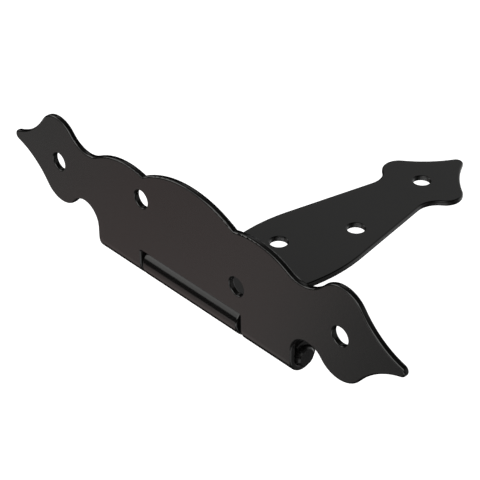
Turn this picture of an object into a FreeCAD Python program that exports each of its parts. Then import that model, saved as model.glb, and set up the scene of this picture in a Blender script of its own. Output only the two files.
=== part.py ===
import FreeCAD, Part
import math
import os

# A black ornamental tee hinge for a gate or a door.  All sizes are in millimetres.
# +X runs along the pin, +Y away from the mounting face of the cross leaf, +Z up.
# The origin is midway between the two end screw holes, on the mounting face.

# The sheet, the pin and the eyes rolled round it
sheet = 2.0
pin_diameter = 6.35
pin_running_clearance = 0.05
seam_gap = 0.25
pin_standout = 1.5
pin_chamfer = 0.45

# The cross leaf, measured up from the pin and out from its middle; each spade from its tip
leaf_length = 176.8
spade_overhang = 43.25
notch_half_width = 23.3
notch_clearance = 0.275
notch_corner = 0.7
crown_height = 39.15
crown_half_width = 21.5
crown_foot_height = 33.1
wing_peak_x = 28.7
wing_peak_height = 34.7
wing_radius = 30.0
neck_radius = 11.2
spade_height = 20.75
spade_lobe_from_tip = 24.1
spade_lobe_offset = 6.25
spade_lobe_radius = 9.65
spade_flank_radius = 28.0
spade_tip_radius = 1.8
scoop_radius = 6.6

# The strap leaf, measured out from the pin; its spade from its tip, its belly as shares of
# its reach
strap_reach = 122.5
knuckle_gap = 1.1
strap_side_shift = -0.6
shoulder_distance = 9.0
shoulder_radius = 2.5
root_radius = 7.0
belly_half_width = 18.8
belly_distance_share = 0.338
belly_radius_share = 0.5225
strap_neck_from_tip = 32.4
strap_neck_radius = 8.6
strap_lobe_from_tip = 20.4
strap_lobe_offset = 10.3
strap_lobe_radius = 6.4
strap_flank_radius = 42.0
strap_tip_radius = 2.4

# The screw holes
screw_hole_diameter = 6.1
end_hole_from_tip = 24.1
end_hole_height = 20.1
left_hole_x = -21.8
left_hole_height = 25.1
right_hole_x = 21.8
right_hole_height = 14.85
strap_root_hole = (-6.0, 39.1)
strap_middle_hole = (5.5, 63.5)
strap_tip_hole_from_tip = 20.6

# Rounded edges, as the press and the powder coat leave them
edge_round = 0.6
hole_round = 0.45

# What follows from the sizes above
eye_inner_radius = pin_diameter / 2 + pin_running_clearance
eye_outer_radius = eye_inner_radius + sheet
notch_height = eye_outer_radius + notch_clearance
barrel_length = leaf_length - 2 * spade_overhang
spade_lobe_x = leaf_length / 2 - spade_lobe_from_tip
end_hole_spacing = leaf_length - 2 * end_hole_from_tip
belly_distance = belly_distance_share * strap_reach
belly_radius = belly_radius_share * strap_reach
strap_neck_distance = strap_reach - strap_neck_from_tip
strap_lobe_distance = strap_reach - strap_lobe_from_tip
seam_angle = math.asin((eye_inner_radius - seam_gap) / eye_outer_radius)
pin_centre = FreeCAD.Vector(0, eye_outer_radius, -end_hole_height)


def point(x, y):
    return FreeCAD.Vector(x, y, 0)


def meeting_point(centre_a, distance_a, centre_b, distance_b):
    """The point at these distances from two centres, to the left of the way from a to b."""
    way = centre_b - centre_a
    span = way.Length
    along = (span ** 2 + distance_a ** 2 - distance_b ** 2) / (2 * span)
    aside = math.sqrt(distance_a ** 2 - along ** 2)
    unit = way / span
    return centre_a + unit * along + point(-unit.y, unit.x) * aside


def touch(centre_a, radius_a, centre_b):
    """Where a round of this radius about a meets the one about b that it touches."""
    return centre_a + (centre_b - centre_a).normalize() * radius_a


def arc(start, end, centre, turn):
    """A round edge about a centre; turn is 1 anticlockwise and -1 clockwise."""
    first = start - centre
    last = end - centre
    angle_first = math.atan2(first.y, first.x)
    sweep = (turn * (math.atan2(last.y, last.x) - angle_first)) % (2 * math.pi)
    middle = angle_first + turn * sweep / 2
    through = centre + point(math.cos(middle), math.sin(middle)) * first.Length
    return Part.Arc(start, through, end).toShape()


def line(start, end):
    return Part.makeLine(start, end)


def mirrored(edges):
    """The same edges on the other side of the middle, in an order that closes the outline."""
    return [edge.mirror(point(0, 0), point(1, 0)) for edge in reversed(edges)]


def blank(edges):
    """The flat sheet inside an outline, with its mounting face on the eye's tangent plane."""
    wire = Part.Wire(Part.__sortEdges__(edges))
    flat = Part.Face(wire).extrude(FreeCAD.Vector(0, 0, sheet))
    flat.translate(FreeCAD.Vector(0, 0, -eye_outer_radius))
    return flat


def eye(x_start, x_end):
    """A length of rolled eye about the pin, from the sheet's tangent line to its seam."""
    outer = eye_outer_radius
    inner = eye_inner_radius
    start = math.radians(-90)
    end = -math.radians(360) - seam_angle

    def at(radius, angle):
        return FreeCAD.Vector(x_start, radius * math.cos(angle), radius * math.sin(angle))

    half = (start + end) / 2
    section = Part.Wire([
        Part.Arc(at(outer, start), at(outer, half), at(outer, end)).toShape(),
        Part.makeLine(at(outer, end), at(inner, end)),
        Part.Arc(at(inner, end), at(inner, half), at(inner, start)).toShape(),
        Part.makeLine(at(inner, start), at(outer, start)),
    ])
    return Part.Face(section).extrude(FreeCAD.Vector(x_end - x_start, 0, 0))


def outline_edges(solid, hole_centres):
    """The long edges of the sheet, without hole rims and the short edges across the sheet."""
    chosen = []
    for edge in solid.Edges:
        middle = edge.CenterOfMass
        at_hole = any(math.hypot(middle.x - x, middle.y - y) < 0.1 for x, y in hole_centres)
        across = abs(edge.Length - sheet) < 0.001
        box = edge.BoundBox
        joins_eye = box.YLength < 0.001 and box.ZLength < 0.001 and abs(middle.y) < 0.001
        seam = middle.z > -eye_inner_radius and box.YLength < 0.001 and box.ZLength < 0.001
        if not (at_hole or across or joins_eye or seam):
            chosen.append(edge)
    return chosen


def leaf(edges, eyes, hole_centres):
    """One leaf, lying flat with the pin along X through the origin."""
    solid = blank(edges)
    for x_start, x_end in eyes:
        solid = solid.fuse(eye(x_start, x_end))
    solid = solid.removeSplitter()
    solid = solid.makeFillet(edge_round, outline_edges(solid, hole_centres))
    for x, y in hole_centres:
        drill = Part.makeCylinder(
            screw_hole_diameter / 2, 2 * sheet,
            FreeCAD.Vector(x, y, -eye_outer_radius - sheet / 2),
        )
        solid = solid.cut(drill)
    rims = []
    for edge in solid.Edges:
        middle = edge.CenterOfMass
        if any(math.hypot(middle.x - x, middle.y - y) < 0.1 for x, y in hole_centres):
            if isinstance(edge.Curve, Part.Circle):
                rims.append(edge)
    return solid.makeFillet(hole_round, rims)


def spade_half(lobe, lobe_radius, flank_radius, tip, tip_radius):
    """Flank centre, and where it meets the lobe and the tip, on the side left of the way out."""
    flank = meeting_point(lobe, lobe_radius + flank_radius, tip, tip_radius + flank_radius)
    return flank, touch(lobe, lobe_radius, flank), touch(tip, tip_radius, flank)


def cross_leaf():
    """The cross leaf: a scalloped crown, a spade at each end and an eye each side of the notch."""
    crown_rise = crown_height - crown_foot_height
    crown_radius = (crown_half_width ** 2 + crown_rise ** 2) / (2 * crown_rise)
    crown = point(0, crown_height - crown_radius)
    wing = point(wing_peak_x, wing_peak_height - wing_radius)
    top = point(0, crown_height)
    foot = meeting_point(crown, crown_radius, wing, wing_radius)
    upper_lobe = point(spade_lobe_x, spade_height + spade_lobe_offset)
    lower_lobe = point(spade_lobe_x, spade_height - spade_lobe_offset)
    tip = point(leaf_length / 2 - spade_tip_radius, spade_height)
    neck = meeting_point(
        wing, wing_radius + neck_radius, upper_lobe, spade_lobe_radius + neck_radius
    )
    wing_end = touch(wing, wing_radius, neck)
    lobe_start = touch(upper_lobe, spade_lobe_radius, neck)
    flank, flank_start, tip_start = spade_half(
        upper_lobe, spade_lobe_radius, spade_flank_radius, tip, spade_tip_radius
    )

    def below(spot):
        return point(spot.x, 2 * spade_height - spot.y)

    barrel_end = barrel_length / 2
    scoop_x = barrel_end + scoop_radius
    reach = spade_lobe_radius + scoop_radius
    scoop = point(scoop_x, lower_lobe.y - math.sqrt(reach ** 2 - (lower_lobe.x - scoop_x) ** 2))
    lobe_end = touch(lower_lobe, spade_lobe_radius, scoop)
    scoop_end = point(barrel_end, scoop.y)
    heel = point(barrel_end, 0)
    toe = point(notch_half_width, 0)
    notch_side = point(notch_half_width, notch_height - notch_corner)
    notch_turn = point(notch_half_width - notch_corner, notch_height)
    notch_round = point(notch_half_width - notch_corner, notch_height - notch_corner)
    half = [
        arc(top, foot, crown, -1),
        arc(foot, wing_end, wing, -1),
        arc(wing_end, lobe_start, neck, 1),
        arc(lobe_start, flank_start, upper_lobe, -1),
        arc(flank_start, tip_start, flank, 1),
        arc(tip_start, below(tip_start), tip, -1),
        arc(below(tip_start), below(flank_start), below(flank), 1),
        arc(below(flank_start), lobe_end, lower_lobe, -1),
        arc(lobe_end, scoop_end, scoop, 1),
        line(scoop_end, heel),
        line(heel, toe),
        line(toe, notch_side),
        arc(notch_side, notch_turn, notch_round, 1),
        line(notch_turn, point(0, notch_height)),
    ]
    eyes = [(-barrel_end, -notch_half_width), (notch_half_width, barrel_end)]
    holes = [
        (-end_hole_spacing / 2, end_hole_height),
        (left_hole_x, left_hole_height),
        (right_hole_x, right_hole_height),
        (end_hole_spacing / 2, end_hole_height),
    ]
    flat = leaf(half + mirrored(half), eyes, holes)
    upright = flat.mirror(FreeCAD.Vector(0, 0, 0), FreeCAD.Vector(0, 1, -1))
    upright.translate(pin_centre)
    return upright


def strap_leaf():
    """The strap leaf: one middle eye, a belly, a long taper and a spade end."""
    knuckle = notch_half_width - knuckle_gap
    corner = point(knuckle - shoulder_radius, shoulder_distance - shoulder_radius)
    belly = point(belly_half_width - belly_radius, belly_distance)
    root = meeting_point(
        belly, belly_radius + root_radius, corner, shoulder_radius + root_radius
    )
    lobe = point(strap_lobe_offset, strap_lobe_distance)
    neck_reach = strap_lobe_radius + strap_neck_radius
    neck_aside = math.sqrt(neck_reach ** 2 - (strap_lobe_distance - strap_neck_distance) ** 2)
    neck = point(strap_lobe_offset + neck_aside, strap_neck_distance)
    taper_way = neck - belly
    taper_turn = math.acos((belly_radius + strap_neck_radius) / taper_way.Length)
    taper_angle = math.atan2(taper_way.y, taper_way.x) - taper_turn
    square_to_taper = point(math.cos(taper_angle), math.sin(taper_angle))
    tip = point(0, strap_reach - strap_tip_radius)
    flank = meeting_point(
        tip, strap_tip_radius + strap_flank_radius, lobe, strap_lobe_radius + strap_flank_radius
    )
    heel = point(knuckle, 0)
    corner_start = point(knuckle, corner.y)
    corner_end = touch(corner, shoulder_radius, root)
    belly_start = touch(belly, belly_radius, root)
    taper_start = belly + square_to_taper * belly_radius
    taper_end = neck - square_to_taper * strap_neck_radius
    lobe_start = touch(lobe, strap_lobe_radius, neck)
    lobe_end = touch(lobe, strap_lobe_radius, flank)
    tip_start = touch(tip, strap_tip_radius, flank)
    half = [
        line(point(0, 0), heel),
        line(heel, corner_start),
        arc(corner_start, corner_end, corner, 1),
        arc(corner_end, belly_start, root, -1),
        arc(belly_start, taper_start, belly, 1),
        line(taper_start, taper_end),
        arc(taper_end, lobe_start, neck, -1),
        arc(lobe_start, lobe_end, lobe, 1),
        arc(lobe_end, tip_start, flank, -1),
        arc(tip_start, point(0, strap_reach), tip, 1),
    ]
    holes = [strap_root_hole, strap_middle_hole, (0, strap_reach - strap_tip_hole_from_tip)]
    flat = leaf(half + mirrored(half), [(-knuckle, knuckle)], holes)
    flat.translate(pin_centre + point(strap_side_shift, 0))
    return flat


def hinge_pin():
    """The pin, a plain rod with chamfered ends that stand out of the barrel."""
    length = barrel_length + 2 * pin_standout
    pin = Part.makeCylinder(
        pin_diameter / 2, length, pin_centre - point(length / 2, 0), FreeCAD.Vector(1, 0, 0)
    )
    ends = [edge for edge in pin.Edges if edge.BoundBox.XLength < 0.001]
    return pin.makeChamfer(pin_chamfer, ends)


parts = {
    "cross_leaf": cross_leaf(),
    "strap_leaf": strap_leaf(),
    "hinge_pin": hinge_pin(),
}

os.makedirs("parts", exist_ok=True)
for name, shape in parts.items():
    print(name, shape.ShapeType, len(shape.Solids), shape.isValid(), round(shape.Volume, 1))
    shape.exportStep("parts/" + name + ".step")
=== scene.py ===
import bpy
from mathutils import Matrix, Vector


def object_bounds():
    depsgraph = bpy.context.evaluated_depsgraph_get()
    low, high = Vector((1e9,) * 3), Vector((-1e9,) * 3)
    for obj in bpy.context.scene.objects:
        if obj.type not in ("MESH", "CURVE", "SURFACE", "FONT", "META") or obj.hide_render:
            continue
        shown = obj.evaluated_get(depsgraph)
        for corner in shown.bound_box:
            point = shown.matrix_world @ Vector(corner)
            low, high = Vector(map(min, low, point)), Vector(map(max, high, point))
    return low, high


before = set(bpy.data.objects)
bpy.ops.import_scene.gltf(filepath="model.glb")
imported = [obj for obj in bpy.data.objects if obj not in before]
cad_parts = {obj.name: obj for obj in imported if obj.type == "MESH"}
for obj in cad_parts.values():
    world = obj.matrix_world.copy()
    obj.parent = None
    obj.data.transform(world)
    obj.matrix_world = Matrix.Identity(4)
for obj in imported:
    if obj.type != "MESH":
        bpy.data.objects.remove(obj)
cad_box = [list(corner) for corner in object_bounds()]

# The coat on every piece is black polyester powder, sprayed on and baked in an oven.  It
# flows to a satin skin with a faint ripple, and its gloss and its black drift a little.
ripple_height = 0.0001
ripple_waves = 900.0
drift_waves = 60.0
gloss_drift_span = 0.03
tone_drift_span = 0.15
coat = bpy.data.node_groups.new("baked_powder", "ShaderNodeTree")
coat.interface.new_socket("Black", in_out="INPUT", socket_type="NodeSocketColor")
coat.interface.new_socket("Gloss Roughness", in_out="INPUT", socket_type="NodeSocketFloat")
coat.interface.new_socket("Ripple", in_out="INPUT", socket_type="NodeSocketFloat")
coat.interface.new_socket("Color", in_out="OUTPUT", socket_type="NodeSocketColor")
coat.interface.new_socket("Roughness", in_out="OUTPUT", socket_type="NodeSocketFloat")
coat.interface.new_socket("Normal", in_out="OUTPUT", socket_type="NodeSocketVector")
coat_in = coat.nodes.new("NodeGroupInput")
coat_out = coat.nodes.new("NodeGroupOutput")
place = coat.nodes.new("ShaderNodeTexCoord")


def coat_noise(waves, detail):
    """Soft noise that stays with the piece, with this many waves to the metre."""
    noise = coat.nodes.new("ShaderNodeTexNoise")
    noise.inputs["Scale"].default_value = waves
    noise.inputs["Detail"].default_value = detail
    coat.links.new(place.outputs["Object"], noise.inputs["Vector"])
    return noise.outputs["Fac"]


bump = coat.nodes.new("ShaderNodeBump")
bump.inputs["Distance"].default_value = ripple_height
coat.links.new(coat_noise(ripple_waves, detail=3.0), bump.inputs["Height"])
coat.links.new(coat_in.outputs["Ripple"], bump.inputs["Strength"])
coat.links.new(bump.outputs["Normal"], coat_out.inputs["Normal"])

drift = coat_noise(drift_waves, detail=4.0)
gloss_drift = coat.nodes.new("ShaderNodeMapRange")
gloss_drift.inputs["To Min"].default_value = -gloss_drift_span
gloss_drift.inputs["To Max"].default_value = gloss_drift_span
coat.links.new(drift, gloss_drift.inputs["Value"])
gloss = coat.nodes.new("ShaderNodeMath")
gloss.operation = "ADD"
coat.links.new(coat_in.outputs["Gloss Roughness"], gloss.inputs[0])
coat.links.new(gloss_drift.outputs["Result"], gloss.inputs[1])
coat.links.new(gloss.outputs["Value"], coat_out.inputs["Roughness"])

tone_drift = coat.nodes.new("ShaderNodeMapRange")
tone_drift.inputs["To Min"].default_value = 1.0 - tone_drift_span
tone_drift.inputs["To Max"].default_value = 1.0 + tone_drift_span
coat.links.new(drift, tone_drift.inputs["Value"])
tone = coat.nodes.new("ShaderNodeVectorMath")
tone.operation = "SCALE"
coat.links.new(coat_in.outputs["Black"], tone.inputs[0])
coat.links.new(tone_drift.outputs["Result"], tone.inputs["Scale"])
coat.links.new(tone.outputs["Vector"], coat_out.inputs["Color"])


def coated_steel(name, black, gloss_roughness, ripple):
    """Steel under the baked coat, for one kind of piece."""
    material = bpy.data.materials.new(name)
    material.use_nodes = True
    tree = material.node_tree
    shader = tree.nodes["Principled BSDF"]
    skin = tree.nodes.new("ShaderNodeGroup")
    skin.node_tree = coat
    skin.inputs["Black"].default_value = (*black, 1.0)
    skin.inputs["Gloss Roughness"].default_value = gloss_roughness
    skin.inputs["Ripple"].default_value = ripple
    tree.links.new(skin.outputs["Color"], shader.inputs["Base Color"])
    tree.links.new(skin.outputs["Roughness"], shader.inputs["Roughness"])
    tree.links.new(skin.outputs["Normal"], shader.inputs["Normal"])
    return material


# The cross leaf and the strap leaf are stamped from 2 mm steel sheet, their eyes are rolled
# in a press, and they are coated on one rack, so they share one coat.
leaf_black = (0.0055, 0.0053, 0.0052)
leaf_coat = coated_steel("leaf_powder_coat", leaf_black, gloss_roughness=0.13, ripple=0.1)
for name in ("cross_leaf", "strap_leaf"):
    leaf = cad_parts[name]
    leaf.data.materials.clear()
    leaf.data.materials.append(leaf_coat)

# The pin is a cut length of drawn steel rod with turned chamfers.  It is driven through the
# eyes before coating, so its ends have a thinner and duller coat.
pin_black = (0.0050, 0.0048, 0.0048)
pin_coat = coated_steel("pin_powder_coat", pin_black, gloss_roughness=0.20, ripple=0.15)
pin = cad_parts["hinge_pin"]
pin.data.materials.clear()
pin.data.materials.append(pin_coat)

# The table is a wide white sheet, lit from below like a light table.  It lies below the
# strap's lowest swing, so the hinge is seen on white with no shadow beside it.
table_half = 3.0
table_white = (0.85, 0.85, 0.85, 1.0)
table_dullness = 0.9
table_glow = 0.85
strap_reach = cad_box[1][1]
table_height = cad_box[0][2] - strap_reach
table_corners = ((-1, -1), (1, -1), (1, 1), (-1, 1))
table_mesh = bpy.data.meshes.new("table")
table_mesh.from_pydata(
    [(x * table_half, y * table_half, table_height) for x, y in table_corners], [], [(0, 1, 2, 3)]
)
table = bpy.data.objects.new("table", table_mesh)
bpy.context.scene.collection.objects.link(table)
table.visible_glossy = False
table_paint = bpy.data.materials.new("white_table")
table_paint.use_nodes = True
table_shader = table_paint.node_tree.nodes["Principled BSDF"]
table_shader.inputs["Base Color"].default_value = table_white
table_shader.inputs["Roughness"].default_value = table_dullness
table_shader.inputs["Emission Color"].default_value = (1.0, 1.0, 1.0, 1.0)
table_shader.inputs["Emission Strength"].default_value = table_glow
table_mesh.materials.append(table_paint)

# The room is dark.  A bright wall of diffused windows stands in front, with a taller and
# brighter window to its right.  A pale floor lies below, warm in the middle.  Behind, the
# wall, its right corner and the ceiling at the left are lit dimly.
world = bpy.data.worlds.new("studio")
bpy.context.scene.world = world
world.use_nodes = True
room = world.node_tree
background = room.nodes["Background"]
direction = room.nodes.new("ShaderNodeTexCoord")
measure = room.nodes.new("ShaderNodeSeparateXYZ")
room.links.new(direction.outputs["Generated"], measure.inputs["Vector"])
across, ahead, up = (measure.outputs[axis] for axis in ("X", "Y", "Z"))


def room_ramp(value, steps):
    """How a light changes along one measure of the direction, as (measure, light) steps."""
    spread = room.nodes.new("ShaderNodeMapRange")
    spread.inputs["From Min"].default_value = -1.0
    room.links.new(value, spread.inputs["Value"])
    ramp = room.nodes.new("ShaderNodeValToRGB")
    room.links.new(spread.outputs["Result"], ramp.inputs["Fac"])
    while len(ramp.color_ramp.elements) < len(steps):
        ramp.color_ramp.elements.new(0.5)
    for element, (at, light) in zip(ramp.color_ramp.elements, steps):
        element.position = (at + 1) / 2
        element.color = (light, light, light, 1.0)
    return ramp.outputs["Color"]


def room_part(tint, *ramps):
    """One lit part of the room: its ramps multiplied together and tinted."""
    light = None
    for ramp in ramps:
        mix = room.nodes.new("ShaderNodeVectorMath")
        mix.operation = "MULTIPLY"
        mix.inputs[0].default_value = tint
        if light:
            room.links.new(light, mix.inputs[0])
        room.links.new(ramp, mix.inputs[1])
        light = mix.outputs["Vector"]
    return light


# Each step is a place along a measure of the direction and how bright the part is there.
floor_bands = [(-0.84, 0.0), (-0.78, 1.0), (-0.34, 1.0), (-0.27, 0.0)]
in_front = [(-0.3, 1.0), (0.0, 0.0)]
left_floor_steps = [
    (-0.66, 0.72), (-0.60, 0.95), (-0.57, 0.95), (-0.54, 0.66), (-0.45, 0.3), (-0.35, 0.05),
]
ceiling_steps = [
    (0.38, 0.0), (0.46, 0.8), (0.515, 0.86), (0.55, 1.0), (0.62, 1.0), (0.72, 0.15),
]
room_parts = [
    # the floor at the left, in front
    room_part(
        (0.445, 0.44, 0.43),
        room_ramp(up, floor_bands),
        room_ramp(across, left_floor_steps),
        room_ramp(ahead, in_front),
    ),
    # its warm middle
    room_part(
        (0.11, 0.035, 0.03),
        room_ramp(up, floor_bands),
        room_ramp(across, [(-0.72, 0.0), (-0.68, 1.0), (-0.59, 1.0), (-0.55, 0.0)]),
        room_ramp(ahead, in_front),
    ),
    # the floor close in front and at the right
    room_part(
        (1.2, 1.2, 1.2),
        room_ramp(up, floor_bands),
        room_ramp(ahead, [(-0.80, 1.0), (-0.70, 0.0)]),
    ),
    room_part(
        (0.8, 0.8, 0.8),
        room_ramp(up, floor_bands),
        room_ramp(across, [(0.35, 0.0), (0.45, 1.0), (0.70, 1.0), (0.80, 0.2)]),
        room_ramp(ahead, [(-0.1, 1.0), (0.1, 0.15)]),
    ),
    # the floor at the back left
    room_part(
        (0.35, 0.35, 0.35),
        room_ramp(up, [(-0.50, 0.0), (-0.42, 1.0), (-0.30, 1.0), (-0.22, 0.0)]),
        room_ramp(across, [(-0.65, 0.0), (-0.55, 1.0), (0.1, 1.0), (0.3, 0.0)]),
        room_ramp(ahead, [(0.0, 0.0), (0.2, 1.0)]),
    ),
    # the wall of windows
    room_part(
        (1.22, 1.22, 1.19),
        room_ramp(up, [(0.15, 0.0), (0.20, 1.0), (0.55, 1.0), (0.65, 0.0)]),
        room_ramp(across, [(-0.72, 1.75), (-0.64, 1.0), (-0.35, 0.9), (-0.15, 0.0)]),
        room_ramp(ahead, in_front),
    ),
    # a tall window in front and to the right
    room_part(
        (2.4, 2.4, 2.35),
        room_ramp(up, [(0.15, 0.0), (0.22, 1.0), (0.78, 1.0), (0.86, 0.0)]),
        room_ramp(across, [(-0.35, 0.0), (-0.15, 1.0), (0.5, 1.0), (0.6, 0.2)]),
        room_ramp(ahead, [(-0.35, 1.0), (-0.15, 0.0)]),
    ),
    # a wide soft light on the back wall
    room_part(
        (0.6, 0.6, 0.6),
        room_ramp(up, [(-0.80, 0.0), (-0.60, 1.0), (0.20, 1.0), (0.60, 0.4), (0.90, 0.2)]),
        room_ramp(across, [(-0.55, 0.0), (-0.40, 1.0)]),
        room_ramp(ahead, [(0.60, 0.0), (0.85, 1.0)]),
    ),
    # the back right corner
    room_part(
        (0.25, 0.25, 0.25),
        room_ramp(up, [(-0.45, 0.0), (-0.30, 1.0), (0.40, 1.0), (0.55, 0.0)]),
        room_ramp(across, [(0.30, 0.0), (0.50, 1.0)]),
        room_ramp(ahead, [(0.10, 0.0), (0.30, 1.0)]),
    ),
    # the ceiling at the back left
    room_part(
        (0.36, 0.36, 0.355),
        room_ramp(up, ceiling_steps),
        room_ramp(across, [(-0.2, 1.0), (0.1, 0.15)]),
    ),
]
room_light = room_parts[0]
for light in room_parts[1:]:
    total = room.nodes.new("ShaderNodeVectorMath")
    room.links.new(room_light, total.inputs[0])
    room.links.new(light, total.inputs[1])
    room_light = total.outputs["Vector"]

# Past the table's edge the viewpoint sees a white backdrop instead of the room.
seen = room.nodes.new("ShaderNodeLightPath")
backdrop = room.nodes.new("ShaderNodeMix")
backdrop.data_type = "VECTOR"
backdrop.inputs["B"].default_value = (1.0, 1.0, 1.0)
room.links.new(seen.outputs["Is Camera Ray"], backdrop.inputs["Factor"])
room.links.new(room_light, backdrop.inputs["A"])
room.links.new(backdrop.outputs["Result"], background.inputs["Color"])

# The viewpoint is a long lens above and in front of the cross leaf, a little to the pin's
# right-hand end, so that both spade ends and the strap are seen together.
camera_data = bpy.data.cameras.new("viewpoint")
camera_data.lens = 116.26
camera_data.sensor_width = 36.0
camera_data.clip_start = 0.01
camera_data.clip_end = 20.0
camera = bpy.data.objects.new("viewpoint", camera_data)
viewpoint = (0.29874, -0.24774, 0.25854)
camera_right = Vector((0.672866, 0.739727, -0.007431))
camera_forward = Vector((-0.618588, 0.557111, -0.554055))
camera_up = camera_right.cross(camera_forward).normalized()
turn = Matrix((camera_right, camera_up, -camera_forward)).transposed()
camera_place = Matrix.Translation(viewpoint)
camera.matrix_world = camera_place @ turn.to_4x4()
bpy.context.scene.collection.objects.link(camera)
bpy.context.scene.camera = camera
bpy.context.scene.view_settings.view_transform = "Standard"
